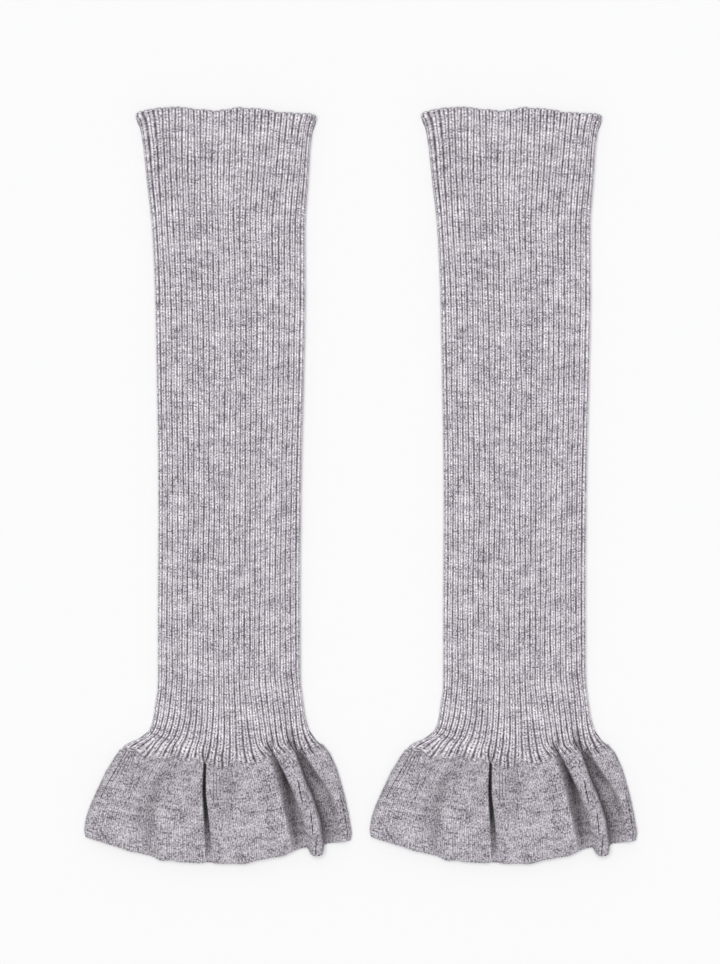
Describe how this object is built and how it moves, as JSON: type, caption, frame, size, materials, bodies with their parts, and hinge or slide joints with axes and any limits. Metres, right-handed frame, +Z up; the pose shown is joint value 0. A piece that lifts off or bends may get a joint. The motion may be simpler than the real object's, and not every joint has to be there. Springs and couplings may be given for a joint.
{
  "type": "pair of leg warmers",
  "caption": "Pair of ribbed knit leg warmers with a flared, folded flounce at the ankle, laid flat side by side.",
  "frame": {"origin": "centre of the pair's footprint, on the surface that it lies on", "axes": "+X to the right across both legs as seen from above, +Y from the ankle flounces to the top edges, +Z up from the surface through the cloth"},
  "size_m": [0.3132, 0.43, 0.0119],
  "materials": {
    "ribbed_knit": "soft one by one rib knit in a cool grey marl yarn, slightly fuzzy",
    "flounce_knit": "soft plain knit in the same cool grey marl yarn, slightly fuzzy"
  },
  "bodies": {
    "root": {"left_leg_ribbed_tube": "ribbed_knit", "left_leg_flounce": "flounce_knit", "right_leg_ribbed_tube": "ribbed_knit", "right_leg_flounce": "flounce_knit"}
  },
  "joints": []
}
